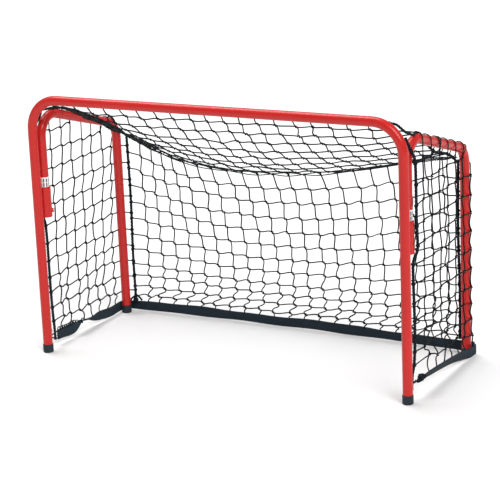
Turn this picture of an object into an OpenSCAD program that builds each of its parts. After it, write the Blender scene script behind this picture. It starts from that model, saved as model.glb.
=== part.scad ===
// Folding street hockey goal, 60 x 90 cm class.
// A bent tube front frame carries two sloping side frames, each hinged in a
// sleeve behind a front post, so that both sides fold flat behind the crossbar.
// A knotted net with border ropes hangs on it, with a webbing strap on the floor.
// Front faces -Y, +X is to the right seen from the front, +Z is up, units are mm.

/* [Frame] */
// Distance between the axes of the two front posts
post_spacing = 925; // [900:1:960]
// Height of the crossbar's axis above the floor
crossbar_z = 605; // [590:1:640]
// Outside diameter of every frame tube
tube_d = 22; // [20:0.5:23]
// Wall thickness of every frame tube
tube_wall = 1.5; // [1:0.1:2]
// Bend radius of the front frame's corners, at the tube's axis
corner_bend = 70; // [60:1:90]
// Distance from the front posts' axis back to the rear legs' axis
frame_depth = 337; // [300:1:360]
// How far each side frame stands inside its front post
side_inset = 4.5; // [2:0.5:6]
// Height of the side frames' top tube where its line meets the front leg
side_front_z = 574; // [560:1:580]
// Bend radius of the side frames' corners, at the tube's axis
side_bend = 48; // [42:6:54]

/* [Hinge] */
// Distance from the front posts' axis back to the hinge axis
hinge_back = 25; // [25:0.5:26]
// Height of the lower end of the hinge sleeves
sleeve_z = 324; // [300:1:340]
// Length of the hinge sleeves
sleeve_len = 70; // [60:1:80]
// Outside diameter of the hinge sleeves
sleeve_d = 27; // [26:0.5:28]
// Radial clearance between a side frame's leg and its sleeve
sleeve_gap = 0.05; // [0.02:0.01:0.1]
// Direction of the retaining screw, from the left hinge axis, seen from above
screw_angle = 40; // [30:1:60]

/* [Feet] */
// Height of the plastic foot caps
cap_h = 20; // [16:1:26]
// Outside diameter of the plastic foot caps
cap_d = 24.5; // [24:0.1:26]
// Thickness of the caps' floor below the tube
cap_floor = 3; // [2:0.5:4]

/* [Net and cords] */
// Thickness of the closed panels that stand for the net
net_t = 3; // [2:0.5:4]
// Diameter of the border ropes
rope_d = 6; // [5:0.5:6]
// Diameter of the thin tie cords
tie_d = 3; // [2:0.5:3]
// Diameter of the cord woven through the net's slack back edge
sag_cord_d = 4; // [3:0.5:5]
// Height of the webbing strap on the floor
strap_h = 25; // [20:1:30]
// Thickness of the webbing strap
strap_t = 2.5; // [1.5:0.5:3]
// Number of welded net hooks along the crossbar
hook_count = 9; // [5:2:11]

/* [Hidden] */

$fn = 48;
tube_r = tube_d / 2;
bore_r = tube_r - tube_wall;
rope_r = rope_d / 2;
tie_r = tie_d / 2;
hook_r = 1.6;

// The strap bows back behind the rear legs, and is the rearmost piece.
strap_corner_y = frame_depth + 21;
strap_bow = 14;
rear_y = strap_corner_y + strap_bow + strap_t;
// Y of the front posts, with the origin at the middle of the whole depth
front_y = (cap_d / 2 - rear_y) / 2;
post_x = post_spacing / 2;

// The side frames, in their own side view: distance back from the front posts, then height.
// The top tube falls 7 in 24 towards the rear, so its direction is [0.96, -0.28].
side_x = post_x - side_inset;
slope_run = 0.96;
slope_fall = 0.28;
front_leg_up = [-1, 0];
slope_up = [slope_fall, slope_run];
rear_leg_back = [1, 0];
side_rear_z = side_front_z - (frame_depth - hinge_back) * slope_fall / slope_run;
front_bend_y = hinge_back + side_bend;
front_bend_z = side_front_z - side_bend * (1 + slope_fall) / slope_run;
rear_bend_y = frame_depth - side_bend;
rear_bend_z = side_rear_z - side_bend * (1 - slope_fall) / slope_run;
leg_end_z = sleeve_z + 2;

// The retaining screw's tip rides in a slot that lets the leg turn a quarter.
screw_z = sleeve_z + 14;
screw_d = 5;
slot_h = screw_d + 1;
slot_margin = 16;
fold_angle = 90;
sleeve_r = sleeve_d / 2;
boss_len = 3;
boss_d = 10;

// Height of the axis of a side frame's top tube, at a distance y behind the posts
function top_tube_z(y) = side_front_z - (y - hinge_back) * slope_fall / slope_run;

// The net's back edge hangs in a slack curve: x, then height.
sag_line = [
    [-434, 454], [-365, 425], [-297, 402], [-225, 388], [-122, 382], [-33, 384],
    [56, 390], [143, 402], [219, 416], [300, 434], [370, 450], [434, 458]
];
sag_y = frame_depth + 21;
net_back_y = frame_depth + 17.5;
net_floor_z = strap_h + 4;

// The net's top panel: its front edge hangs from the crossbar, its sides lie at the side frames.
top_half_w = side_x - tube_r - rope_d - 9;
top_front_y = 23;
top_rear_y = frame_depth + 13;
top_front_z = crossbar_z - 6;
top_belly = 12;
top_cols = 20;
top_rows = 10;

// The rope along the crossbar sits in the welded hooks.
hook_z = crossbar_z - 7;
hook_reach = 9.5;
rope_bar_z = hook_z + hook_r + rope_r + 0.3;
rope_bar_y = tube_r + rope_r + 0.7;
post_hook_heights = [44, 153];

// Routes of the left side's ropes, from the posts' axis: x outwards from the
// hinge axis, y behind the posts, z. The right side's ropes mirror them.
front_rope_route = [
    [-3, 26, 570], [4, 27, 555], [13, 24, 541], [18, 27, 522], [18, 30, 480], [18, 30, 400], [19, 31, 336],
    [13, 30, 318], [9, 30, 304], [8, 30, 285], [8, 31, 250], [9, 32, 150], [7, 31, 85], [3, 28, 52], [2, 27, 22]
];
corner_tie_route = [
    [-58, 17, 600], [-40, 17, 600], [-21, 20, 598], [-11, 25, 589], [-3, 31, 580], [3, 41, 575]
];
corner_rope_route = [[-21, 350, 452], [-23, 350, 300], [-20, 350, 150], [-21, 350, 34]];
tie_loop_route = [
    [13.7, 56, 34], [12, 36, 33], [9, 20, 31], [0, 15.5, 30], [-9, 20, 29], [-9, 32, 28], [4, 40, 27],
    [13.7, 56, 26]
];

function unit(v) = v / norm(v);
function ease(t) = t * t * (3 - 2 * t);

// Points of a smooth curve through a hand-laid route
function spline_point(p0, p1, p2, p3, t) =
    0.5 * (2 * p1 + (p2 - p0) * t + (2 * p0 - 5 * p1 + 4 * p2 - p3) * t * t
    + (3 * p1 - p0 - 3 * p2 + p3) * t * t * t);
function smooth_route(route, steps) = [
    for (i = [0 : len(route) - 2], s = [0 : steps - 1])
        spline_point(
            route[max(i - 1, 0)], route[i], route[i + 1], route[min(i + 2, len(route) - 1)], s / steps
        ),
    route[len(route) - 1]
];

// A round rope swept along a route. across is a direction that the rope never runs along.
module rope(route, r, across = [1, 0, 0], steps = 5, sides = 10) {
    path = smooth_route(route, steps);
    last = len(path) - 1;
    points = [
        for (i = [0 : last])
            let (
                along = unit(path[min(i + 1, last)] - path[max(i - 1, 0)]),
                u = unit(cross(across, along)),
                v = cross(along, u)
            )
            for (k = [0 : sides - 1]) path[i] + r * (cos(360 * k / sides) * u + sin(360 * k / sides) * v)
    ];
    walls = [
        for (i = [0 : last - 1], k = [0 : sides - 1])
            let (next = (k + 1) % sides)
            [i * sides + k, (i + 1) * sides + k, (i + 1) * sides + next, i * sides + next]
    ];
    start_face = [for (k = [0 : sides - 1]) k];
    end_face = [for (k = [sides - 1 : -1 : 0]) last * sides + k];
    polyhedron(points, concat([start_face], walls, [end_face]), convexity = 8);
}

// Everything below is drawn from the front posts' axis, then moved to the origin.
module placed() translate([0, front_y, 0]) children();
module right_side() mirror([1, 0, 0]) children();

// The side frame's own plane: its drawing's x runs back, its y runs up.
module side_plane(x) translate([x, 0, 0]) rotate([90, 0, 90]) children();

// A tube bend of round section round the origin, between two directions a and b
module tube_bend(bend_r, section_r, a, b) {
    far = 3 * bend_r;
    intersection() {
        rotate_extrude($fn = 96) translate([bend_r, 0]) circle(section_r);
        translate([0, 0, -section_r - 1]) linear_extrude(2 * section_r + 2)
            polygon([[0, 0], far * a, 1.5 * far * (a + b), far * b]);
    }
}

// A straight run of round section between two points of a drawing plane
module plane_run(a, b, section_r)
    translate([a.x, a.y, 0]) rotate([0, 0, atan2(b.y - a.y, b.x - a.x)]) rotate([0, 90, 0])
        cylinder(h = norm(b - a), r = section_r);

module front_frame_bar(section_r, foot_z) {
    run_x = post_x - corner_bend;
    run_z = crossbar_z - corner_bend;
    for (s = [-1, 1]) translate([s * post_x, 0, foot_z]) cylinder(h = run_z - foot_z, r = section_r);
    rotate([90, 0, 0]) {
        translate([run_x, run_z, 0]) tube_bend(corner_bend, section_r, [1, 0], [0, 1]);
        translate([-run_x, run_z, 0]) tube_bend(corner_bend, section_r, [0, 1], [-1, 0]);
        plane_run([-run_x, crossbar_z], [run_x, crossbar_z], section_r);
    }
}

module front_frame()
    color("red") placed() difference() {
        front_frame_bar(tube_r, cap_floor);
        front_frame_bar(bore_r, cap_floor - 1);
    }

module side_frame_bar(section_r, front_end_z, rear_end_z) {
    on_slope = side_bend * slope_up;
    front_centre = [front_bend_y, front_bend_z];
    rear_centre = [rear_bend_y, rear_bend_z];
    plane_run([hinge_back, front_end_z], [hinge_back, front_bend_z], section_r);
    translate(front_centre) tube_bend(side_bend, section_r, front_leg_up, slope_up);
    plane_run(front_centre + on_slope, rear_centre + on_slope, section_r);
    translate(rear_centre) tube_bend(side_bend, section_r, slope_up, rear_leg_back);
    plane_run([frame_depth, rear_end_z], [frame_depth, rear_bend_z], section_r);
}

module side_frame()
    color("red") placed() difference() {
        side_plane(-side_x) side_frame_bar(tube_r, leg_end_z, cap_floor);
        side_plane(-side_x) side_frame_bar(bore_r, leg_end_z - 1, cap_floor - 1);
        translate([-side_x, hinge_back, screw_z - slot_h / 2])
            rotate([0, 0, screw_angle - slot_margin])
                rotate_extrude(angle = fold_angle + 2 * slot_margin, $fn = 72)
                    translate([bore_r - 1, 0]) square([tube_wall + 2, slot_h]);
    }

// The sleeve, with its screw boss and the weld seam that joins it to the post
module hinge_sleeve()
    color("firebrick") placed() difference() {
        union() {
            translate([-side_x, hinge_back, sleeve_z]) cylinder(h = sleeve_len, r = sleeve_r);
            translate([-side_x, hinge_back, screw_z]) rotate([0, 0, screw_angle]) rotate([0, 90, 0])
                cylinder(h = sleeve_r + boss_len, d = boss_d);
            for (z = [sleeve_z + 4 : 12 : sleeve_z + sleeve_len - 10])
                translate([-side_x - 5.5, 5, z]) cube([7, hinge_back - 5, 8]);
        }
        translate([-side_x, hinge_back, sleeve_z - 1])
            cylinder(h = sleeve_len + 2, r = tube_r + sleeve_gap);
        translate([-side_x, hinge_back, screw_z]) rotate([0, 0, screw_angle]) rotate([0, 90, 0])
            cylinder(h = sleeve_r + boss_len + 1, d = screw_d);
        translate([-post_x, 0, sleeve_z - 1]) cylinder(h = sleeve_len + 2, r = tube_r);
    }

// A button-head screw with a hexagon socket, whose tip sits in the leg's slot
module sleeve_screw() {
    head_h = 3;
    head_d = 9;
    tip_r = tube_r - 0.8;
    seat_r = sleeve_r + boss_len;
    color("silver") placed()
        translate([-side_x, hinge_back, screw_z]) rotate([0, 0, screw_angle]) rotate([0, 90, 0])
            difference() {
                union() {
                    translate([0, 0, tip_r]) cylinder(h = seat_r - tip_r, d = screw_d);
                    translate([0, 0, seat_r]) rotate_extrude()
                        polygon([[0, 0], [head_d / 2, 0], [head_d / 2, 1], [head_d / 2 - 1.6, head_h], [0, head_h]]);
                }
                translate([0, 0, seat_r + 1.2]) cylinder(h = head_h, d = 3.4, $fn = 6);
            }
}

module foot_cap(x, y)
    color("#28313a") placed() translate([x, y, 0]) rotate_extrude()
        polygon([
            [0, 0], [cap_d / 2 - 1.5, 0], [cap_d / 2, 1.5], [cap_d / 2, cap_h - 0.8],
            [cap_d / 2 - 0.6, cap_h], [tube_r, cap_h], [tube_r, cap_floor], [0, cap_floor]
        ]);

// A welded wire hook behind a tube: a stub that runs back, then a tip that turns up
module net_hook(stub_len) {
    rotate([-90, 0, 0]) cylinder(h = stub_len, r = hook_r, $fn = 16);
    translate([0, stub_len, 0]) sphere(hook_r, $fn = 16);
    translate([0, stub_len, 0]) cylinder(h = 6, r = hook_r, $fn = 16);
}

// The hooks start on the tube's own curved face.
module crossbar_hooks() {
    pitch = 2 * (post_x - corner_bend - 32) / (hook_count - 1);
    color("red") placed() difference() {
        for (i = [0 : hook_count - 1])
            translate([(i - (hook_count - 1) / 2) * pitch, 7, hook_z]) net_hook(hook_reach + tube_r - 7);
        translate([-post_x, 0, crossbar_z]) rotate([0, 90, 0]) cylinder(h = post_spacing, r = tube_r);
    }
}

module post_hooks()
    color("red") placed() difference() {
        for (z = post_hook_heights) translate([-post_x, 7, z]) net_hook(tube_r);
        translate([-post_x, 0, 0]) cylinder(h = crossbar_z / 2, r = tube_r);
    }

// A printed paper label wrapped round the leg just above the sleeve
module label()
    color("white") placed() translate([-side_x, hinge_back, sleeve_z + sleeve_len + 2])
        rotate([0, 0, 105]) rotate_extrude(angle = 330, $fn = 72)
            translate([tube_r, 0]) square([0.2, 23]);

// Height of the top panel of the net, which hangs between the crossbar, the
// side frames and the slack back edge
function top_panel_z(x, y) =
    let (
        v = (y - top_front_y) / (top_rear_y - top_front_y),
        middle = (1 - v) * top_front_z + v * (lookup(x, sag_line) + 6) - top_belly * 4 * v * (1 - v),
        edge = min(top_front_z - 40 * v, top_tube_z(y) + 8),
        near = ease(max(0, min(1, (abs(x) / top_half_w - 0.55) / 0.45)))
    )
    (1 - near * (1 - v)) * middle + near * (1 - v) * max(middle, edge);

module net_top() {
    function column_x(i) = -top_half_w + 2 * top_half_w * i / top_cols;
    function row_y(j) = top_front_y + (top_rear_y - top_front_y) * j / top_rows;
    row_len = top_cols + 1;
    sheet_len = row_len * (top_rows + 1);
    points = [
        for (lift = [0, net_t], j = [0 : top_rows], i = [0 : top_cols])
            [column_x(i), row_y(j), top_panel_z(column_x(i), row_y(j)) + lift]
    ];
    cells = [
        for (j = [0 : top_rows - 1], i = [0 : top_cols - 1])
            let (a = j * row_len + i)
            each [
                [a, a + 1, a + row_len + 1], [a, a + row_len + 1, a + row_len],
                [sheet_len + a, sheet_len + a + row_len + 1, sheet_len + a + 1],
                [sheet_len + a, sheet_len + a + row_len, sheet_len + a + row_len + 1]
            ]
    ];
    front_wall = [for (i = [0 : top_cols - 1]) [i + 1, i, i + sheet_len, i + 1 + sheet_len]];
    rear = top_rows * row_len;
    rear_wall = [
        for (i = [0 : top_cols - 1])
            [rear + i, rear + i + 1, rear + i + 1 + sheet_len, rear + i + sheet_len]
    ];
    left_wall = [
        for (j = [0 : top_rows - 1])
            let (a = j * row_len)
            [a, a + row_len, a + row_len + sheet_len, a + sheet_len]
    ];
    right_wall = [
        for (j = [0 : top_rows - 1])
            let (a = j * row_len + top_cols)
            [a + row_len, a, a + sheet_len, a + row_len + sheet_len]
    ];
    color("#202428") placed()
        polyhedron(points, concat(cells, front_wall, rear_wall, left_wall, right_wall), convexity = 6);
}

// The back panel ends just below the sag rope and just above the floor strap.
module net_back() {
    clear = rope_r + 2;
    edge_x = sag_line[len(sag_line) - 1].x - 6;
    outline = [
        [-edge_x, net_floor_z],
        for (x = [-edge_x : 31 : edge_x]) [x, lookup(x, sag_line) - clear],
        [edge_x, lookup(edge_x, sag_line) - clear],
        [edge_x, net_floor_z]
    ];
    color("#202428") placed() translate([0, net_back_y + net_t, 0]) rotate([90, 0, 0])
        linear_extrude(net_t) polygon(outline);
}

module rope_sag() {
    route = [for (p = sag_line) [p.x, sag_y, p.y]];
    color("#181c22") placed() rope(route, sag_cord_d / 2, across = [0, 1, 0]);
}

module rope_crossbar() {
    half_len = post_x - corner_bend + 6;
    color("#181c22") placed() translate([-half_len, rope_bar_y, rope_bar_z])
        rotate([0, 90, 0]) cylinder(h = 2 * half_len, r = rope_r, $fn = 16);
}

// A left side route, turned from distances outwards into places
function at_left(route) = [for (p = route) [-side_x - p.x, p.y, p.z]];

module front_rope() color("#181c22") placed() rope(at_left(front_rope_route), rope_r);
module corner_tie() color("#181c22") placed() rope(at_left(corner_tie_route), rope_r * 0.8, across = [0, 0, 1]);
module corner_rope() color("#181c22") placed() rope(at_left(corner_rope_route), rope_r);
module strap_tie() color("#181c22") placed() rope(at_left(tie_loop_route), tie_r, across = [0, 0, 1], steps = 4);

// The seam rope starts on top of the top tube and works round to its inner side,
// then drops behind the rear bend to the corner rope.
module seam_rope() {
    around = tube_r + rope_r + 1;
    lead = 82;
    pitch = 30;
    steps = 7;
    route = [
        for (i = [0 : steps])
            let (y = lead + i * pitch, turn = 8 + 84 * ease(i / steps))
            [-around * sin(turn), y, top_tube_z(y) + around * cos(turn) / slope_run],
        [-18, 332, 482],
        [-20, 349, 462]
    ];
    color("#181c22") placed() rope(at_left(route), rope_r, steps = 4);
}

// The side panel hangs outside the side frame, from its top tube to the strap.
module net_side() {
    front = hinge_back + 18;
    rear = frame_depth + tube_r + 1;
    outline = [
        [front, net_floor_z + 18], [front, front_bend_z + 8], [front + 8, front_bend_z + 40],
        [front_bend_y, top_tube_z(front_bend_y) + 6],
        [rear_bend_y, top_tube_z(rear_bend_y) + 8], [frame_depth - 8, rear_bend_z + 35],
        [rear, rear_bend_z], [rear, net_floor_z], [150, net_floor_z]
    ];
    color("#202428") placed() side_plane(-side_x - tube_r - 1.5 - net_t) linear_extrude(net_t) polygon(outline);
}

// The side strap lies on edge on the floor; its front end is tied up to the post.
module strap_side() {
    front = hinge_back + 26;
    rear = frame_depth + 17;
    outline = [
        [front, 19], [front, 19 + strap_h], [front + 90, strap_h + 1], [rear, strap_h + 1],
        [rear, 1], [front + 90, 1]
    ];
    color("#28313a") placed() side_plane(-side_x - tube_r - 4 - strap_t) linear_extrude(strap_t) polygon(outline);
}

// The back strap lies on edge on the floor, bowed out behind the rear legs.
module strap_back() {
    half_w = side_x + 12;
    steps = 24;
    function bow(x) = strap_corner_y + strap_bow * (1 - (x / half_w) ^ 2);
    xs = [for (i = [0 : steps]) half_w * (2 * i / steps - 1)];
    outline = [
        for (x = xs) [x, bow(x)],
        for (i = [steps : -1 : 0]) [xs[i], bow(xs[i]) + strap_t]
    ];
    color("#28313a") placed() translate([0, 0, 1]) linear_extrude(strap_h) polygon(outline);
}

front_frame();
hinge_sleeve();  // hinge_sleeve_left
right_side() hinge_sleeve();  // hinge_sleeve_right
sleeve_screw();  // sleeve_screw_left
right_side() sleeve_screw();  // sleeve_screw_right
foot_cap(-post_x, 0);  // foot_cap_front_left
foot_cap(post_x, 0);  // foot_cap_front_right
crossbar_hooks();
post_hooks();  // post_hooks_left
right_side() post_hooks();  // post_hooks_right
net_top();
net_back();
rope_crossbar();
rope_sag();
front_rope();  // rope_front_left
right_side() front_rope();  // rope_front_right
corner_tie();  // corner_tie_left
right_side() corner_tie();  // corner_tie_right
strap_back();
side_frame();  // side_frame_left
foot_cap(-side_x, frame_depth);  // foot_cap_rear_left
label();  // label_left
net_side();  // net_left
seam_rope();  // rope_seam_left
corner_rope();  // rope_corner_left
strap_side();  // strap_left
strap_tie();  // strap_tie_left
right_side() side_frame();  // side_frame_right
foot_cap(side_x, frame_depth);  // foot_cap_rear_right
right_side() label();  // label_right
right_side() net_side();  // net_right
right_side() seam_rope();  // rope_seam_right
right_side() corner_rope();  // rope_corner_right
right_side() strap_side();  // strap_right
right_side() strap_tie();  // strap_tie_right
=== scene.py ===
"""Looks of a folding street hockey goal: painted tube, knotted twine net, border ropes and floor webbing.

Lengths are millimetres, with y measured back from the front posts' axis, until placed() turns
them into the row frame in metres. A side is -1 for left and 1 for right.
"""
import math

import bpy
import numpy as np
from mathutils import Matrix, Vector


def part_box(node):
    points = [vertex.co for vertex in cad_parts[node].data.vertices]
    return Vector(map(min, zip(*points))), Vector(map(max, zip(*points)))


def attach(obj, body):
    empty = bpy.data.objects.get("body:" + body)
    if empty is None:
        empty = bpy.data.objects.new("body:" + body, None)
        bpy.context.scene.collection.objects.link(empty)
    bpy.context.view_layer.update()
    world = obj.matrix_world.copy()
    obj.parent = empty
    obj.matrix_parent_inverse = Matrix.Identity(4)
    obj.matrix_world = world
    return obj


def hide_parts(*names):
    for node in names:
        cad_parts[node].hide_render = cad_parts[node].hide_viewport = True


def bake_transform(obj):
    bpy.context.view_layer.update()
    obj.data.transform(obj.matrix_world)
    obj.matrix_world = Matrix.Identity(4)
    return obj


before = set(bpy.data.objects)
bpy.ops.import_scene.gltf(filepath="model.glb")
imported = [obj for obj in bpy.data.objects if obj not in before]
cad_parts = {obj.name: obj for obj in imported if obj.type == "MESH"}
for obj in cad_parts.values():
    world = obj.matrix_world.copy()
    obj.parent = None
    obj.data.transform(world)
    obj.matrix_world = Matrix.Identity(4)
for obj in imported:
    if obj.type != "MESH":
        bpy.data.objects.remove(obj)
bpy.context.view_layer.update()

rng = np.random.default_rng(11)

# -------- dimensions

MM = 0.001
SIDES = (-1, 1)
BODY = {-1: "left_side", 1: "right_side"}
NAME = {-1: "left", 1: "right"}

# Frame: tube, axis of the side frames' front legs, their depth and the middles of their bends
post_low, post_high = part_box("front_frame")
FRONT_Y = (post_low.y + post_high.y) * 500
TUBE_R = 11.0
SIDE_X = 458.0
HINGE_Y = 25.0
DEPTH = 337.0
SIDE_FRONT_Z = 574.0
TOP_TUBE_SLOPE = 7 / 24
FRONT_BEND = (73.0, 510.0)
REAR_BEND = (289.0, 447.0)
SIDE_BEND = 48.0
# Direction in which the sloping top tube leaves a bend, in degrees
SLOPE_TURN = 73.74

# Soft goods
TWINE_R = 1.55
ROPE_R = 3.0
SEAM_R = 2.3
STRAP_H = 25.0
STRAP_T = 2.5
# Laid cord: strands, and how deep the grooves between them are
STRANDS = 3
GROOVE = 0.16

# Net: twine between two knots, along a row and down a column, of the back, top and side nets
BACK_MESH = (42.0, 35.5)
TOP_MESH = (43.8, 43.8)
SIDE_MESH = (43.0, 43.5)
# Net: columns and rows of meshes
COLUMNS = 22
TOP_ROWS = 9
SIDE_COLS = 8
# Columns of the back net, and of the top net where it hangs on the crossbar
CORNER_X = 437.0
COLUMN_STEP = 40.6
LAST_COLUMN = 31.0
BAR_STEP = 43.6
BAR_FIRST_X = -413.0
BAR_HALF = 402.0
# Share of the way down the back net at each of its rows, and heights of the side nets' rows, after
# rows measured in the photo in the same way
BACK_SHARES = np.array([0, 0.098, 0.192, 0.295, 0.395, 0.492, 0.588, 0.68, 0.768, 0.836, 0.906, 0.965, 1.0])
SIDE_HEIGHTS = np.array([560.0, 516, 471, 427, 384, 341, 299, 256, 213, 172, 133, 93, 58, 28])
# Side nets: first column's distance back, step between columns, and lean of each further column's foot
SIDE_FIRST_Y = 36.0
SIDE_STEP = {-1: 42.0, 1: 43.4}
SIDE_LEAN = {-1: 3, 1: 0.4}

# The net's slack back edge, and the ropes, as routes of x, y, z. Some points were measured in the photo
# through a fitted camera by a separate program, the slack edge's above all; the others were chosen by
# eye. The side routes are the left side's, with x outwards from the hinge axis.
SAG_ROUTE = [
    (-434, 351, 454), (-365, 353, 425), (-297, 353, 402), (-225, 353, 388), (-122, 353, 382), (-33, 353, 384),
    (56, 353, 390), (143, 353, 402), (219, 353, 416), (300, 353, 434), (370, 353, 450), (434, 351, 458),
]
FRONT_ROPE = [
    (-3, 26, 570), (4, 27, 555), (13, 24, 541), (18, 27, 522), (18, 30, 480), (18, 30, 400), (19, 31, 336),
    (13, 30, 318), (9, 30, 304), (8, 30, 285), (8, 31, 250), (9, 32, 150), (7, 31, 85), (3, 28, 52),
    (2, 27, 22),
]
CORNER_TIE = [(-58, 17, 600), (-40, 17, 600), (-21, 20, 598), (-11, 25, 589), (-3, 31, 580), (3, 41, 575)]
CORNER_ROPE = [(-21, 350, 452), (-23, 350, 300), (-20, 350, 150), (-21, 350, 34)]
SEAM = {
    -1: [(3, 41, 574), (5, 53, 571), (0, 68, 571.5), (-3, 84, 569), (-6, 112, 564), (-11, 150, 552),
         (-15, 190, 535), (-16.5, 230, 517), (-17, 270, 499), (-18, 305, 481), (-19, 332, 467),
         (-21, 349, 451)],
    1: [(3, 41, 574), (5, 53, 571), (0, 68, 571.5), (-3, 84, 569), (-9, 112, 561), (-16, 150, 541),
        (-20, 190, 515), (-21, 230, 494), (-20, 270, 485), (-20, 305, 472), (-21, 332, 457), (-21, 349, 445)],
}
# The loose end of the left corner rope's knot, and the knot's middle
TAIL = [(-449, 351, 20), (-453, 350, 28), (-446, 349, 36), (-436, 348, 42), (-427, 348, 41), (-418, 348, 32)]
TAIL_KNOT = (-438, 351, 31)
# The cord that ties a side strap's front end to the post, and how far each side's is lifted
STRAP_TIE = [
    (13.7, 56, 34), (12, 36, 33), (9, 20, 31), (0, 15.5, 30), (-9, 20, 29), (-9, 32, 28), (4, 40, 27),
    (13.7, 56, 26),
]
TIE_LIFT = {-1: 0, 1: 9}
# The knot that gathers the right strap's front end
STRAP_KNOT = [
    (465, 42, 38), (471, 44, 47), (478, 49, 45), (475, 54, 37), (467, 52, 37), (465, 48, 45), (471, 52, 52),
    (479, 58, 49), (478, 63, 41), (469, 62, 37), (464, 56, 43), (467, 50, 51), (474, 45, 50), (477, 42, 41),
    (471, 39, 36), (464, 42, 33), (460, 37, 37),
]
# Floor straps at the sides: distance back, height of the middle, lean of the width in degrees
STRAP_LAY = {
    -1: [(354, 14, 0), (330, 15, 0), (280, 15, 0), (240, 19, 6), (215, 22, 24), (197, 25, 50), (181, 26, 60),
         (160, 29, 62), (146, 31, 72), (133, 27, 112), (118, 22, 150), (100, 21, 166), (72, 24, 174),
         (52, 25, 178)],
    1: [(354, 14, 0), (318, 15, 6), (280, 20, 15), (250, 25, 20), (218, 29, 25), (162, 34, 28), (107, 38, 30),
        (75, 41, 36), (54, 42, 38)],
}

# -------- points and paths


def smoothstep(t):
    t = np.clip(t, 0, 1)
    return t * t * (3 - 2 * t)


def unit(v):
    return v / np.maximum(np.linalg.norm(v, axis=-1, keepdims=True), 1e-9)


def placed(points):
    """Points in millimetres from the posts' axis, turned into the row frame in metres."""
    return (np.asarray(points, float) + [0, FRONT_Y, 0]) * MM


def on_side(route, side):
    """A left side route, x outwards from the hinge axis, as places on that side."""
    points = np.array(route, float)
    points[:, 0] = side * (SIDE_X + points[:, 0])
    return points


def smooth_route(route, steps=8):
    """Points of a Catmull-Rom curve through a route's points."""
    p = np.asarray(route, float)
    p = np.vstack([p[:1], p, p[-1:]])
    out = []
    for i in range(1, len(p) - 2):
        for t in np.arange(steps) / steps:
            out.append(
                0.5 * (2 * p[i] + (p[i + 1] - p[i - 1]) * t
                + (2 * p[i - 1] - 5 * p[i] + 4 * p[i + 1] - p[i + 2]) * t**2
                + (3 * p[i] - p[i - 1] - 3 * p[i + 1] + p[i + 2]) * t**3)
            )
    out.append(p[-2])
    return np.array(out)


def travel(paths):
    """Distance covered at each point of a path, or of each of many paths."""
    steps = np.linalg.norm(np.diff(paths, axis=-2), axis=-1)
    return np.concatenate([np.zeros(steps.shape[:-1] + (1,)), np.cumsum(steps, axis=-1)], axis=-1)


def length_of(path):
    return float(np.linalg.norm(np.diff(path, axis=0), axis=1).sum())


def evenly(path, count):
    """That many points at even distances along a path."""
    path = np.asarray(path, float)
    along = travel(path)
    at = np.linspace(0, along[-1], count)
    return np.stack([np.interp(at, along, path[:, k]) for k in range(3)], axis=1)


def by_height(path, heights):
    """Points of a path that runs downwards, at given heights."""
    path = path[np.argsort(path[:, 2])]
    x, y = (np.interp(heights, path[:, 2], path[:, k]) for k in (0, 1))
    return np.stack([x, y, np.asarray(heights, float)], axis=1)


def by_x(path, xs):
    """Points of a path that runs to the right, at given x."""
    y, z = (np.interp(xs, path[:, 0], path[:, k]) for k in (1, 2))
    return np.stack([np.asarray(xs, float), y, z], axis=1)


def directions_along(points):
    return unit(np.gradient(np.asarray(points, float), axis=0))


def square_to(directions):
    """A unit vector square to each direction."""
    helper = np.where(np.abs(directions[:, 2:3]) < 0.8, [[0.0, 0.0, 1.0]], [[1.0, 0.0, 0.0]])
    return unit(np.cross(helper, directions))


# -------- mesh code

# UVs count centimetres along a cord or strap
UV_UNIT = 10
# Points of a strap's cross-section on each face
STRAP_POINTS = 6


def pair(u, v):
    return np.stack(np.broadcast_arrays(u, v), axis=-1)


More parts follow.
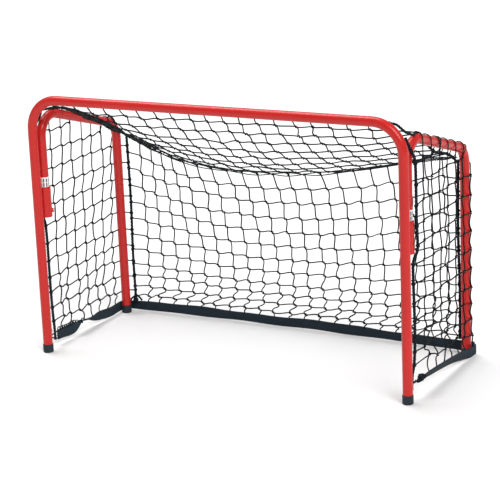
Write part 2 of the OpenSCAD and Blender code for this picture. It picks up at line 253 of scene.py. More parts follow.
class Shape:
    """Points, quads and their UVs, gathered until they become one mesh."""

    def __init__(self):
        self.points, self.quads, self.uvs, self.count = [], [], [], 0

    def add(self, points, quads, uvs):
        self.points.append(points.reshape(-1, 3))
        self.quads.append(quads.reshape(-1, 4) + self.count)
        self.uvs.append(uvs.reshape(-1, 4, 2))
        self.count += len(self.points[-1])
        return self

    def gathered(self):
        return np.concatenate(self.points), np.concatenate(self.quads), np.concatenate(self.uvs)

    def tubes(self, paths, radius, sides=6, pitch=None):
        """Tubes along one path, or along many of equal count at once; radius is a number or one for
        each point. With a pitch they are laid cords, whose strands turn once every pitch."""
        paths = np.asarray(paths, float)
        if paths.ndim == 2:
            paths = paths[None]
        n, m = paths.shape[:2]
        along = travel(paths)
        tangent = unit(np.gradient(paths, axis=1))
        across = np.zeros((n, m, 3))
        u = square_to(tangent[:, 0])
        for i in range(m):
            u = unit(u - (u * tangent[:, i]).sum(-1, keepdims=True) * tangent[:, i])
            across[:, i] = u
        other = np.cross(tangent, across)

        angle = 2 * np.pi * np.arange(sides) / sides
        r = np.broadcast_to(np.asarray(radius, float), (n, m))[:, :, None] * np.ones(sides)
        if pitch:
            phase = angle - 2 * np.pi * along[:, :, None] / pitch
            r = r * (1 - GROOVE + GROOVE * 2 * np.abs(np.cos(STRANDS * phase / 2)))
        cos, sin = np.cos(angle)[:, None], np.sin(angle)[:, None]
        ring = (
            paths[:, :, None] + r[..., None] * cos * across[:, :, None]
            + r[..., None] * sin * other[:, :, None]
        )

        base = (np.arange(n)[:, None, None] * m + np.arange(m - 1)[None, :, None]) * sides
        k = np.arange(sides)[None, None, :]
        k1 = (k + 1) % sides
        quads = np.stack([base + k, base + sides + k, base + sides + k1, base + k1], axis=-1)
        here, there = (along[:, :-1, None] / UV_UNIT, along[:, 1:, None] / UV_UNIT)
        left, right = k / sides, (k + 1) / sides
        uvs = np.stack([pair(left, here), pair(left, there), pair(right, there), pair(right, here)], axis=-2)
        self.add(ring, quads.astype(np.int64), uvs)
        self.close_ends(ring, along)
        return self

    def close_ends(self, ring, along):
        """Closes the ends of the tubes just added, with quads round a middle point."""
        n, m, sides = ring.shape[:3]
        start = self.count
        first_ring = start - n * m * sides
        tube = np.arange(n)[:, None]
        k = np.arange(0, sides, 2)
        quads, uvs = [], []
        for end, row in ((0, 0), (1, m - 1)):
            base = first_ring + (tube * m + row) * sides
            a, b, c = base + k, base + (k + 1) % sides, base + (k + 2) % sides
            middle = np.broadcast_to(start + tube * 2 + end, a.shape)
            quads.append(np.stack([middle, c, b, a] if end else [middle, a, b, c], axis=-1) - start)
            uv = np.zeros(a.shape + (4, 2))
            uv[..., 1] = along[:, row][:, None, None] / UV_UNIT
            uvs.append(uv)
        middles = np.stack([ring[:, 0].mean(1), ring[:, -1].mean(1)], axis=1)
        self.add(middles, np.concatenate([q.reshape(-1, 4) for q in quads]),
                 np.concatenate([x.reshape(-1, 4, 2) for x in uvs]))

    def mesh(self, name, material, slot):
        points, quads, uvs = self.gathered()
        mesh = bpy.data.meshes.new(name)
        mesh.vertices.add(len(points))
        mesh.vertices.foreach_set("co", placed(points).astype(np.float32).ravel())
        mesh.loops.add(len(quads) * 4)
        mesh.loops.foreach_set("vertex_index", quads.astype(np.int32).ravel())
        mesh.polygons.add(len(quads))
        mesh.polygons.foreach_set("loop_start", np.arange(0, len(quads) * 4, 4, dtype=np.int32))
        mesh.update(calc_edges=True)
        layer = mesh.uv_layers.new(name="UVMap")
        layer.data.foreach_set("uv", uvs.astype(np.float32).ravel())
        mesh.polygons.foreach_set("use_smooth", np.full(len(quads), True))
        mesh.validate()
        obj = bpy.data.objects.new(name, mesh)
        bpy.context.scene.collection.objects.link(obj)
        obj.data.materials.append(material)
        return obj


def ribbon(low, high):
    """A flat strap between its lower and upper edges, with softly rounded selvedges."""
    low, high = np.asarray(low, float), np.asarray(high, float)
    line = (low + high) / 2
    face = unit(np.cross(directions_along(line), high - low))
    share = np.linspace(0, 1, STRAP_POINTS)
    half = STRAP_T / 2 * np.minimum(1, 0.35 + 6 * np.minimum(share, 1 - share))
    middle = low[:, None] + (high - low)[:, None] * share[None, :, None]
    front = middle + face[:, None] * half[None, :, None]
    back = middle - face[:, None] * half[None, :, None]
    ring = np.concatenate([front, back[:, ::-1]], axis=1)

    sides = 2 * STRAP_POINTS
    along = travel(line) / UV_UNIT
    width = float(np.mean(np.linalg.norm(high - low, axis=1))) / UV_UNIT
    lateral = np.concatenate([share, share[::-1]]) * width
    quads, uvs = [], []
    for i in range(len(low) - 1):
        for k in range(sides):
            k1 = (k + 1) % sides
            quads.append([i * sides + k, (i + 1) * sides + k, (i + 1) * sides + k1, i * sides + k1])
            uvs.append([[lateral[k], along[i]], [lateral[k], along[i + 1]],
                        [lateral[k1], along[i + 1]], [lateral[k1], along[i]]])
    for row in (0, len(low) - 1):
        first, last = row * sides, row * sides + sides - 1
        for k in range(STRAP_POINTS - 1):
            quad = [first + k, first + k + 1, last - 1 - k, last - k]
            quads.append(quad if row == 0 else quad[::-1])
            uvs.append([[lateral[k], along[row]]] * 4)
    return Shape().add(ring, np.array(quads), np.array(uvs))


def connected(quads, count):
    """A number for each point, the same for all points of one tube."""
    label = np.arange(count)
    edges = np.concatenate([quads[:, [0, 1]], quads[:, [1, 2]], quads[:, [2, 3]]])
    while True:
        low = np.minimum(label[edges[:, 0]], label[edges[:, 1]])
        before = label.copy()
        np.minimum.at(label, edges[:, 0], low)
        np.minimum.at(label, edges[:, 1], low)
        label = label[label]
        if (before == label).all():
            return np.unique(label, return_inverse=True)[1]


def split_at_middle(shape):
    """Shares a shape's tubes out to the left and right of the middle, tube by tube."""
    points, quads, uvs = shape.gathered()
    label = connected(quads, len(points))
    mean_x = np.bincount(label, weights=points[:, 0]) / np.bincount(label)
    on_left = mean_x[label[quads[:, 0]]] <= 1.0
    parts = {}
    for side, keep in zip(SIDES, (on_left, ~on_left)):
        used, index = np.unique(quads[keep], return_inverse=True)
        parts[side] = Shape().add(points[used], index.reshape(-1, 4), uvs[keep])
    return parts


# -------- materials


class Look:
    """A Principled material and short ways to add the nodes of its detail."""

    def __init__(self, name, color, rough, **settings):
        self.material = bpy.data.materials.new(name)
        self.material.use_nodes = True
        self.tree = self.material.node_tree
        self.shader = self.tree.nodes["Principled BSDF"]
        self.shader.inputs["Base Color"].default_value = (*color, 1)
        self.shader.inputs["Roughness"].default_value = rough
        for key, value in settings.items():
            self.shader.inputs[key.replace("_", " ")].default_value = value

    def node(self, kind, inputs=(), **settings):
        n = self.tree.nodes.new(kind)
        for key, value in settings.items():
            setattr(n, key, value)
        for key, value in dict(inputs).items():
            if isinstance(value, bpy.types.NodeSocket):
                self.tree.links.new(value, n.inputs[key])
            else:
                n.inputs[key].default_value = value
        return n

    def math(self, operation, a, b=0.5):
        return self.node("ShaderNodeMath", {0: a, 1: b}, operation=operation).outputs[0]

    def position(self):
        return self.node("ShaderNodeTexCoord").outputs["Object"]

    def split(self, vector):
        return self.node("ShaderNodeSeparateXYZ", {0: vector}).outputs

    def noise(self, scale, detail=3.0, rough=0.55):
        settings = {"Vector": self.position(), "Scale": scale, "Detail": detail, "Roughness": rough}
        return self.node("ShaderNodeTexNoise", settings).outputs["Fac"]

    def ramp(self, value, low, high, to_low=0.0, to_high=1.0):
        limits = {"Value": value, "From Min": low, "From Max": high, "To Min": to_low, "To Max": to_high}
        return self.node("ShaderNodeMapRange", limits, clamp=True).outputs["Result"]

    def mix(self, factor, a, b):
        n = self.node("ShaderNodeMix", data_type="RGBA")
        for index, value in ((0, factor), (6, a), (7, b)):
            if isinstance(value, bpy.types.NodeSocket):
                self.tree.links.new(value, n.inputs[index])
            else:
                n.inputs[index].default_value = value if index == 0 else (*value, 1)
        return n.outputs[2]

    def to(self, socket, value):
        self.tree.links.new(value, self.shader.inputs[socket])

    def bump(self, height, strength, distance):
        n = self.node("ShaderNodeBump", {"Height": height, "Strength": strength, "Distance": distance})
        normal = self.shader.inputs["Normal"]
        if normal.is_linked:
            self.tree.links.new(normal.links[0].from_socket, n.inputs["Normal"])
        self.tree.links.new(n.outputs["Normal"], normal)

    def uv(self):
        """The way across or round a piece, and along it in centimetres."""
        around, along, _ = self.split(self.node("ShaderNodeUVMap", uv_map="UVMap").outputs[0])
        return around, along

    def waves(self, turns, value):
        """0 to 1 waves, that many for each unit of value."""
        angle = self.math("MULTIPLY", value, 2 * math.pi * turns)
        return self.math("MULTIPLY_ADD", self.math("SINE", angle), 0.5)


def red_paint():
    """Glossy powder coat, slightly uneven, with a fine orange peel and dull specks."""
    coat = {"Coat_Weight": 0.2, "Coat_Roughness": 0.16}
    look = Look("red_paint", (0.54, 0.014, 0.011), 0.3, Specular_IOR_Level=0.24, **coat)
    tone = look.mix(look.ramp(look.noise(3.2, 3), 0.35, 0.68), (0.48, 0.012, 0.009), (0.54, 0.015, 0.012))
    speck = look.ramp(look.noise(900, 2), 0.72, 0.78)
    look.to("Base Color", look.mix(look.math("MULTIPLY", speck, 0.16), tone, (0.4, 0.012, 0.012)))
    look.to("Roughness", look.ramp(look.noise(60, 4), 0.3, 0.72, 0.24, 0.4))
    look.bump(look.noise(520, 2), 0.08, 0.0003)
    look.bump(look.noise(70, 3), 0.05, 0.0010)
    return look.material


def zinc():
    look = Look("zinc_steel", (0.55, 0.56, 0.58), 0.35, Metallic=1.0)
    look.to("Base Color", look.mix(look.noise(180, 4), (0.42, 0.43, 0.45), (0.68, 0.69, 0.7)))
    look.to("Roughness", look.ramp(look.noise(400, 3), 0.3, 0.7, 0.25, 0.5))
    look.bump(look.noise(900, 2), 0.15, 0.0003)
    return look.material


def cap_plastic():
    """Dark moulded plastic, scuffed grey where it meets the floor."""
    look = Look("cap_plastic", (0.022, 0.033, 0.048), 0.5, Specular_IOR_Level=0.25)
    height = look.split(look.position())[2]
    near_floor = look.ramp(height, 0.009, 0.0, 0.0, 0.7)
    scuff = look.math("MULTIPLY", look.ramp(look.noise(150, 5, 0.7), 0.52, 0.66), near_floor)
    base = look.mix(look.noise(40, 3), (0.010, 0.016, 0.023), (0.017, 0.026, 0.036))
    look.to("Base Color", look.mix(scuff, base, (0.12, 0.125, 0.13)))
    look.to("Roughness", look.ramp(look.noise(220, 3), 0.3, 0.7, 0.42, 0.68))
    look.bump(look.noise(1400, 2), 0.2, 0.0002)
    return look.material


def cord_look(name, dark, light, turns_per_cm):
    """Twisted fibres: strands run round the cord as they run along it, with finer fibres on them."""
    look = Look(name, dark, 0.78, Sheen_Weight=0.02, Sheen_Roughness=0.5, Specular_IOR_Level=0.12)
    around, along = look.uv()
    around = look.math("MULTIPLY", around, STRANDS)
    turn = look.math("ADD", around, look.math("MULTIPLY", along, turns_per_cm))
    crest = look.waves(1.0, turn)
    # The strand crests are painted lighter: a painted highlight on the raised strands, with some dust, in
    # uneven patches.
    patchy_dust_and_highlight = look.ramp(look.noise(35, 3), 0.3, 0.75, 0.25, 0.9)
    look.to("Base Color", look.mix(look.math("MULTIPLY", crest, patchy_dust_and_highlight), dark, light))
    look.to("Roughness", look.ramp(look.noise(300, 3), 0.3, 0.7, 0.62, 0.9))
    look.bump(look.waves(5.0, turn), 0.25, 0.0002)
    look.bump(crest, 0.6, 0.0006)
    return look.material


def webbing():
    """Woven polyester strap: ribs in a herringbone across its width, yarns along it, and some dust."""
    sheen = {"Sheen_Weight": 0.03, "Sheen_Roughness": 0.45}
    look = Look("webbing", (0.012, 0.02, 0.03), 0.8, Specular_IOR_Level=0.12, **sheen)
    across, along = look.uv()
    zigzag = look.math("FRACT", look.math("MULTIPLY", across, 1.6), 0)
    lean = look.math("ABSOLUTE", look.math("SUBTRACT", zigzag, 0.5))
    ribs = look.waves(7.0, look.math("ADD", along, look.math("MULTIPLY", lean, 0.55)))
    weave = look.math("MULTIPLY", ribs, look.waves(11.0, across))
    patches = look.noise(22, 4)
    base = look.mix(look.ramp(patches, 0.3, 0.7), (0.011, 0.019, 0.027), (0.018, 0.031, 0.042))
    tone = look.mix(look.math("MULTIPLY", weave, 0.7), base, (0.028, 0.045, 0.06))
    dust = look.ramp(look.noise(90, 5, 0.7), 0.62, 0.76, 0.0, 0.16)
    look.to("Base Color", look.mix(dust, tone, (0.07, 0.08, 0.088)))
    look.to("Roughness", look.ramp(patches, 0.3, 0.7, 0.68, 0.9))
    look.bump(weave, 0.7, 0.0005)
    look.bump(look.noise(160, 3), 0.25, 0.0012)
    return look.material


def label_paper(name, side):
    """White film with a plain pattern of upright dark bars in two rows."""
    look = Look(name, (0.86, 0.86, 0.85), 0.42, Coat_Weight=0.3, Coat_Roughness=0.2)
    x, y, z = look.split(look.position())
    from_leg_x = look.math("SUBTRACT", x, side * SIDE_X * MM)
    from_leg_y = look.math("SUBTRACT", y, (HINGE_Y + FRONT_Y) * MM)
    bars = look.ramp(look.waves(1.6, look.math("ARCTAN2", from_leg_y, from_leg_x)), 0.42, 0.5)
    inside = look.math("MULTIPLY", look.ramp(z, 0.3965, 0.397), look.ramp(z, 0.4165, 0.416))
    gap = look.ramp(look.math("ABSOLUTE", look.math("SUBTRACT", z, 0.4065)), 0.0004, 0.0009)
    ink = look.math("MULTIPLY", look.math("MULTIPLY", bars, inside), gap)
    ink_color = look.mix(look.ramp(z, 0.405, 0.4055), (0.02, 0.022, 0.03), (0.03, 0.02, 0.03))
    paper = look.mix(look.noise(90, 3), (0.78, 0.78, 0.77), (0.9, 0.9, 0.89))
    look.to("Base Color", look.mix(look.math("MULTIPLY", ink, 0.92), paper, ink_color))
    look.to("Roughness", look.ramp(look.noise(240, 3), 0.3, 0.7, 0.32, 0.5))
    look.bump(look.noise(500, 3), 0.1, 0.0003)
    return look.material


RED = red_paint()
ZINC = zinc()
CAPS = cap_plastic()
TWINE = cord_look("twine", (0.0025, 0.0035, 0.0045), (0.014, 0.018, 0.021), 2.6)
ROPE = cord_look("rope", (0.003, 0.006, 0.009), (0.02, 0.031, 0.04), 0.9)
WEBBING = webbing()


def material_of(node):
    """The material of a piece that keeps its CAD shape."""
    if node.startswith("label"):
        return label_paper("paper_" + node, -1 if node.endswith("left") else 1)
    if "cap" in node:
        return CAPS
    if "screw" in node:
        return ZINC
    return RED


for node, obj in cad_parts.items():
    material = material_of(node)
    obj.data.materials.clear()
    obj.data.materials.append(material)

# -------- frame tubes, to keep twine off


def top_tube_z(y):
    """Height of the axis of a side frame's top tube."""
    return SIDE_FRONT_Z - (y - HINGE_Y) * TOP_TUBE_SLOPE


def bend(middle, turns):
    """Points round one of a side frame's bends, as y and z."""
    angles = [math.radians(a) for a in turns]
    return [(middle[0] + SIDE_BEND * math.cos(a), middle[1] + SIDE_BEND * math.sin(a)) for a in angles]


def side_axis(side):
    """Points along the axis of a side frame's tube: front leg, top tube, rear leg."""
    points = [(HINGE_Y, z) for z in range(6, 510, 6)]
    points += bend(FRONT_BEND, np.linspace(180, SLOPE_TURN, 16))
    rear_y = REAR_BEND[0] + SIDE_BEND * math.cos(math.radians(SLOPE_TURN))
    points += [(y, top_tube_z(y)) for y in np.arange(points[-1][0] + 5, rear_y, 5)]
    points += bend(REAR_BEND, np.linspace(SLOPE_TURN, 0, 12))
    points += [(DEPTH, z) for z in range(444, 3, -6)]
    axis = np.array(points)
    return np.column_stack([np.full(len(axis), side * SIDE_X), axis])


AXES = {side: evenly(side_axis(side), 520) for side in SIDES}


def push_out(points, axis):
    """Moves twine that is too near a tube's axis straight out to the tube's surface."""
    clearance = TUBE_R + TWINE_R + 0.1
    flat = points.reshape(-1, 3)
    batch = 4000
    for start in range(0, len(flat), batch):
        part = flat[start:start + batch]
        gap = part[:, None] - axis[None]
        distance = (gap**2).sum(-1)
        nearest = distance.argmin(1)
        rows = np.arange(len(part))
        d = np.sqrt(distance[rows, nearest])
        close = d < clearance
        away = gap[rows, nearest] / np.maximum(d, 1e-6)[:, None]
        part[close] = (axis[nearest] + away * clearance)[close]
    return flat.reshape(points.shape)


def drawn_tight(paths, axis, rounds=70):
    """Shortens strands until they lie against a tube."""
    for _ in range(rounds):
        paths[:, 1:-1] = 0.3 * paths[:, 1:-1] + 0.35 * (paths[:, :-2] + paths[:, 2:])
        paths = push_out(paths, axis)
    return paths


# -------- twine

# Half the length of a knot's slant, and the slant in degrees
KNOT_HALF = 2.2
KNOT_SLANT = 44
# Points along a strand of twine
STRAND_POINTS = 13


def twine_net(shape, grid, curl, mesh, flip=1, wrap=None, real=None):
    """Strands and knots of a net. Each knot lies aslant, so the strands leave it in gentle S curves;
    curl says how far they wander, at each knot, and mesh how much twine lies between two knots.
    real tells which places of the grid hold a knot; wrap moves strands that go round a tube."""
    rows, cols = grid.shape[:2]
    if real is None:
        real = np.ones((rows, cols), bool)
    right, down = unit(np.gradient(grid, axis=1)), unit(np.gradient(grid, axis=0))
    out = unit(np.cross(right, down))
    slant = np.radians(KNOT_SLANT) + rng.normal(0, 0.16, (rows, cols))
    diagonal = flip * np.cos(slant)[..., None] * right + np.sin(slant)[..., None] * down
    inner = np.zeros((rows, cols), bool)
    inner[1:-1, 1:-1] = real[1:-1, 1:-1]
    offset = diagonal * KNOT_HALF * inner[..., None]
    t = np.linspace(0, 1, STRAND_POINTS)[:, None]

    def strand(knot, next_knot, upright):
        """A curve between two knots. The more slack its twine has, the wider its S."""
        sign = 1 if upright else flip
        chord_direction = unit(grid[next_knot] - grid[knot])
        start, end = grid[knot] + sign * offset[knot], grid[next_knot] - sign * offset[next_knot]
        chord = np.linalg.norm(end - start)
        twine = mesh[1 if upright else 0] - KNOT_HALF * (inner[knot] * 1.0 + inner[next_knot])
        slack = max(0.0, 1 - chord / (twine + 1.5))
        loose = (curl[knot] + curl[next_knot]) / 2
        wander = (loose if upright else min(loose, 0.8)) * (0.5 + 0.9 * math.sqrt(slack))
        bunched = max(0.0, loose - 1.25) if upright else 0.0
        reach = (0.3 + 0.1 * bunched) * chord + 0.42 * slack * twine
        bulge = (rng.normal(0.12, 0.34) if upright else rng.normal(0, 0.12)) * wander
        bend_a, bend_b = rng.normal(0, 0.22, 2) * wander
        lift_a, lift_b = rng.normal(0, 0.25, 2) * wander
        sideways = flip * right[knot] if upright else down[knot]
        lead = 0.4 * wander + (3.4 if upright else 0.7) * slack**1.4 + 0.9 * bunched
        leave = sideways * (lead + bulge + bend_a) * inner[knot] + out[knot] * lift_a
        arrive = sideways * (lead - bulge + bend_b) * inner[next_knot] + out[next_knot] * lift_b
        leave, arrive = unit(chord_direction + leave), unit(chord_direction + arrive)
        return ((1 - t)**3 * start + 3 * (1 - t)**2 * t * (start + leave * reach)
                + 3 * (1 - t) * t**2 * (end - arrive * reach) + t**3 * end)

    paths = []
    for j in range(rows):
        for i in range(cols):
            if i + 1 < cols and 0 < j < rows - 1 and real[j, i] and real[j, i + 1]:
                paths.append(strand((j, i), (j, i + 1), False))
            if j + 1 < rows and 0 < i < cols - 1 and real[j, i] and real[j + 1, i]:
                paths.append(strand((j, i), (j + 1, i), True))
    paths = np.array(paths)
    if wrap is not None:
        paths = wrap(paths)
    shape.tubes(paths, TWINE_R * rng.uniform(0.93, 1.08, (len(paths), 1)))
    knots(shape, grid[inner], diagonal[inner], out[inner])


def coils(middles, along, u, v, shift, radius, turn):
    """Helices round the middles: shift along the axis, radius and angle at each of their points."""
    return (
        middles[:, None] + along[:, None] * shift[..., None]
        + u[:, None] * (radius * np.cos(turn))[..., None] + v[:, None] * (radius * np.sin(turn))[..., None]
    )


def knots(shape, middles, slants, outs):
    """A coil of nearly two turns at each knot, along its slant, thickest at its middle."""
    n = len(middles)
    t = np.linspace(0, 1, 15)
    turn = 2 * np.pi * (1.75 * t + rng.uniform(0, 1, n)[:, None])
    size = rng.uniform(0.9, 1.12, n)[:, None]
    shift = (t - 0.5)[None] * 7.6 * size
    radius = 1.95 * size * np.sin(np.pi * (0.12 + 0.76 * t))[None]
    path = coils(middles, slants, unit(np.cross(outs, slants)), unit(outs), shift, radius, turn)
    shape.tubes(path, TWINE_R * 1.05 * np.sin(np.pi * (0.2 + 0.6 * t))**0.5)


def hitches(shape, middles, along, radius, turns=1.9, length=4.6, cord_r=1.1):
    """Twine wound round a rope at each place where a strand is made fast to it."""
    middles, along = np.asarray(middles, float), unit(np.asarray(along, float))
    n = len(middles)
    t = np.linspace(0, 1, 21)
    turn = 2 * np.pi * (turns * t[None] + rng.uniform(0, 1, n)[:, None])
    shift = (t - 0.5)[None] * length * rng.uniform(0.8, 1.3, n)[:, None]
    u = square_to(along)
    coil_r = (radius + cord_r * 0.8) * np.ones((n, 1))
    shape.tubes(coils(middles, along, u, np.cross(along, u), shift, coil_r, turn), cord_r)


# -------- the sheets of the net

sag = smooth_route(SAG_ROUTE)
seams = {side: smooth_route(on_side(SEAM[side], side)) for side in SIDES}
corner_ropes = {side: smooth_route(on_side(CORNER_ROPE, side)) for side in SIDES}
column = np.arange(COLUMNS + 1)


def strap_bow(x):
    """How far back the floor strap lies behind the posts' axis."""
    return DEPTH + 21 + 14 * (1 - (np.asarray(x) / 470) ** 2)


def strap_top(x):
    """Height of the back strap's upper edge, slightly wavy."""
    return STRAP_H + 2.2 + 1.2 * np.sin(np.asarray(x) / 61.0) + 0.8 * np.sin(np.asarray(x) / 23.0)


def filled(top, bottom, left, right):
    """A grid of knots, rows then columns, filled in between its four border lines."""
    u = np.linspace(0, 1, len(top))[None, :, None]
    v = np.linspace(0, 1, len(left))[:, None, None]
    return (
        (1 - v) * top[None] + v * bottom[None] + (1 - u) * left[:, None] + u * right[:, None]
        - (1 - u) * (1 - v) * top[0] - u * (1 - v) * top[-1] - (1 - u) * v * bottom[0] - u * v * bottom[-1]
    )


def hang(grid, rounds=220, fall=0.06, stretch=1.0015):
    """Lets a grid of knots fall, a little each round, while its border stays. Strands may slacken,
    but reach no further than stretch times their first length."""
    knots_at = grid.copy()
    last = grid.copy()
    free = np.zeros(grid.shape[:2], bool)
    free[1:-1, 1:-1] = True
    longest = {
        axis: np.linalg.norm(np.diff(grid, axis=axis), axis=-1, keepdims=True) * stretch for axis in (0, 1)
    }
    for _ in range(rounds):
        step = (knots_at - last) * 0.9
        last = knots_at.copy()
        knots_at[free] += step[free]
        knots_at[free, 2] -= fall
        for axis, odd in ((1, 0), (1, 1), (0, 0), (0, 1)) * 4:
            n = (grid.shape[axis] - odd) // 2
            near = [slice(None)] * 2
            far = [slice(None)] * 2
            near[axis] = slice(odd, odd + 2 * n, 2)
            far[axis] = slice(odd + 1, odd + 2 * n, 2)
            near, far = tuple(near), tuple(far)
            gap = knots_at[far] - knots_at[near]
            d = np.linalg.norm(gap, axis=-1, keepdims=True)
            over = np.maximum(d - longest[axis][near], 0) / np.maximum(d, 1e-6)
            near_free, far_free = free[near][..., None] * 1.0, free[far][..., None] * 1.0
            total = np.maximum(near_free + far_free, 1)
            knots_at[near] += gap * over * near_free / total
            knots_at[far] -= gap * over * far_free / total
    return knots_at


def back_sheet():
    """The back net's knots, from the slack edge down to the floor strap, their curl, and the places
    on the slack edge where the columns are made fast."""
    columns_x = -CORNER_X + COLUMN_STEP * column
    columns_x[-2:] = CORNER_X - LAST_COLUMN, CORNER_X
    # The columns lean above a level: their upper ends lie to the left, most of all left of the middle
    level_z = 180.0
    lean = 0.17 * smoothstep(column / 5) * (1 - (column / COLUMNS)**2)
    # The inner columns also hang to the left, most of all near the slack edge
    inner_columns = smoothstep((column - 2) / 5) * smoothstep((COLUMNS - column) / 3)
    shift_low, shift_edge = 4, 18

    sag_z = by_x(sag, columns_x)[:, 2]
    top_x = columns_x - lean * (sag_z - level_z) - shift_edge * inner_columns
    top = by_x(sag, np.clip(top_x, -433, 433))
    foot = np.column_stack([columns_x, strap_bow(columns_x) - 3, strap_top(columns_x)])
    rope_top_z, rope_foot_z = 452, 27
    rope_z = rope_top_z + (rope_foot_z - rope_top_z) * BACK_SHARES
    left, right = (by_height(corner_ropes[side], rope_z) for side in SIDES)
    grid = filled(top, foot, left, right)
    drawn_left = 19 * smoothstep(np.minimum(column, COLUMNS - column) / 2)
    for j, share in enumerate(BACK_SHARES):
        z = top[:, 2] + (foot[:, 2] - top[:, 2]) * share
        x = columns_x - lean * np.maximum(0, z - level_z) - drawn_left * smoothstep((72 - z) / 40)
        x -= (shift_low + (shift_edge - shift_low) * (1 - min(1, 4 * share))**2) * inner_columns
        y = top[:, 1] + (foot[:, 1] - top[:, 1]) * share**1.6
        grid[j, 1:-1] = np.column_stack([x, y, z])[1:-1]
    loose = smoothstep((BACK_SHARES - 0.7) / 0.25)[:, None, None]
    jitter = rng.normal(0, 1, grid.shape) * ([1.4, 1.6, 1.0] + loose * [0.6, 0.6, -0.2])
    grid[1:-1, 1:-1] += jitter[1:-1, 1:-1]
    curl = 0.8 + rng.uniform(-0.25, 0.35, grid.shape[:2]) + 1.3 * loose[..., 0]
    return grid, curl, top


def top_sheet(back_edge):
    """The top net's knots, from the crossbar rope to the slack back edge, their curl, and the places
    on the crossbar rope where the columns are made fast."""
    left, right = (evenly(seams[side], TOP_ROWS + 1) for side in SIDES)
    bar_x = np.maximum(-BAR_HALF, BAR_FIRST_X + BAR_STEP * (column - 2))
    front = np.column_stack([bar_x, np.full(len(bar_x), 14.7), np.full(len(bar_x), 601.5)])
    front[0], front[1] = left[0], (-437, 20, 598)
    front[-2], front[-1] = (424, 18, 599.5), right[0]
    grid = filled(front, back_edge, left, right)
    down_share = np.linspace(0, 1, TOP_ROWS + 1)[:, None]
    grid[..., 0] -= 9 * smoothstep((column - 6) / 8) * smoothstep((COLUMNS - column) / 3) * (1 - down_share)
    grid[:, 0], grid[:, -1] = left, right
    grid[0], grid[-1] = front, back_edge
    grid = hang(grid)
    grid[1:-1, 1:-1] += rng.normal(0, 1.3, grid[1:-1, 1:-1].shape)
    curl = np.full(grid.shape[:2], 0.75) + rng.uniform(-0.2, 0.3, grid.shape[:2])
    return grid, curl, front


def strap_edges(side):
    """Lower and upper edge of a side strap, from the rear corner to its front end."""
    route = smooth_route(STRAP_LAY[side])
    y, z, turn = route[:, 0], route[:, 1], np.radians(route[:, 2])
    half = 12.2 * (1 - 0.22 * np.sin(turn)**2)
    if side > 0:
        half = half * (1 - 0.55 * smoothstep((74 - y) / 20))
    middle = np.column_stack([side * (471 + 3 * smoothstep((y - 290) / 40)), y, z])
    width = np.column_stack([half * np.sin(turn), 0 * y, half * np.cos(turn)])
    return middle - width, middle + width


def higher_edge(side):
    """The edge of a side strap that lies higher, where the net is made fast."""
    low, high = strap_edges(side)
    return np.where(high[:, 2:] > low[:, 2:], high, low)


def side_sheet(side):
    """A side net's knots, its rows level, which of them lie below the top tube, and their curl."""
    rows = len(SIDE_HEIGHTS)
    grid = np.zeros((rows, SIDE_COLS + 1, 3))
    strap = higher_edge(side)[::-1]
    plane_x = side * (SIDE_X + TUBE_R + 2.2)
    for i in range(SIDE_COLS + 1):
        lean = SIDE_LEAN[side] * i * smoothstep((470 - SIDE_HEIGHTS) / 330)
        y = np.full(rows, SIDE_FIRST_Y + SIDE_STEP[side] * i) - lean
        foot_x, foot_z = (np.interp(y[-1], strap[:, 1], strap[:, k]) for k in (0, 2))
        drop = smoothstep((210 - SIDE_HEIGHTS) / 180)
        x = plane_x + (foot_x - plane_x) * smoothstep((100 - SIDE_HEIGHTS) / 72)
        grid[:, i] = np.column_stack([x, y, SIDE_HEIGHTS + (foot_z - SIDE_HEIGHTS[-1]) * drop])
    grid[:, 0] = by_height(smooth_route(on_side(FRONT_ROPE, side)), grid[:, 0, 2])
    grid[:, -1] = by_height(corner_ropes[side], grid[:, -1, 2])
    if side > 0:
        grid[:, -2:, 2] -= 4
    real = grid[:, :, 2] < top_tube_z(grid[:, :, 1]) - 15
    real[:, 0] = SIDE_HEIGHTS < 530
    real[:, -2] = SIDE_HEIGHTS < 450
    real[:, -1] = SIDE_HEIGHTS < 440
    slack = smoothstep((180 - SIDE_HEIGHTS) / 120)[:, None, None]
    jitter = rng.normal(0, 1, grid.shape) * ([1.1, 1.6, 1.3] + slack * [2.2, 3.4, 2.2])
    grid[1:-1, 1:-2] += jitter[1:-1, 1:-2]
    grid[1:-1, -2, 2] += jitter[1:-1, -2, 2]
    curl = 0.6 + rng.uniform(-0.2, 0.3, grid.shape[:2]) + 0.9 * slack[..., 0]
    return grid, real, curl


def round_the_leg(side):
    """Keeps strands off the side frame; those to the corner rope pass behind its rear leg."""
    axis = AXES[side]

    def wrap(paths):
        first, last = paths[:, 0], paths[:, -1]
        arch = np.sin(np.pi * np.linspace(0, 1, paths.shape[1]))[None, :, None]
        behind = (paths.mean(axis=1)[:, 1] > DEPTH - 8) & (np.abs(first[:, 0] - last[:, 0]) > 15)
        paths[behind] += arch * np.array([side * 9.0, 15.0, 0])
        paths[behind] = drawn_tight(paths[behind], axis)
        upright = (np.abs(first[:, 2] - last[:, 2]) > 20) & (first[:, 1] > DEPTH - 4)
        paths[upright] -= arch * np.array([0, 7.0, 0])
        return push_out(paths, axis)

    return wrap


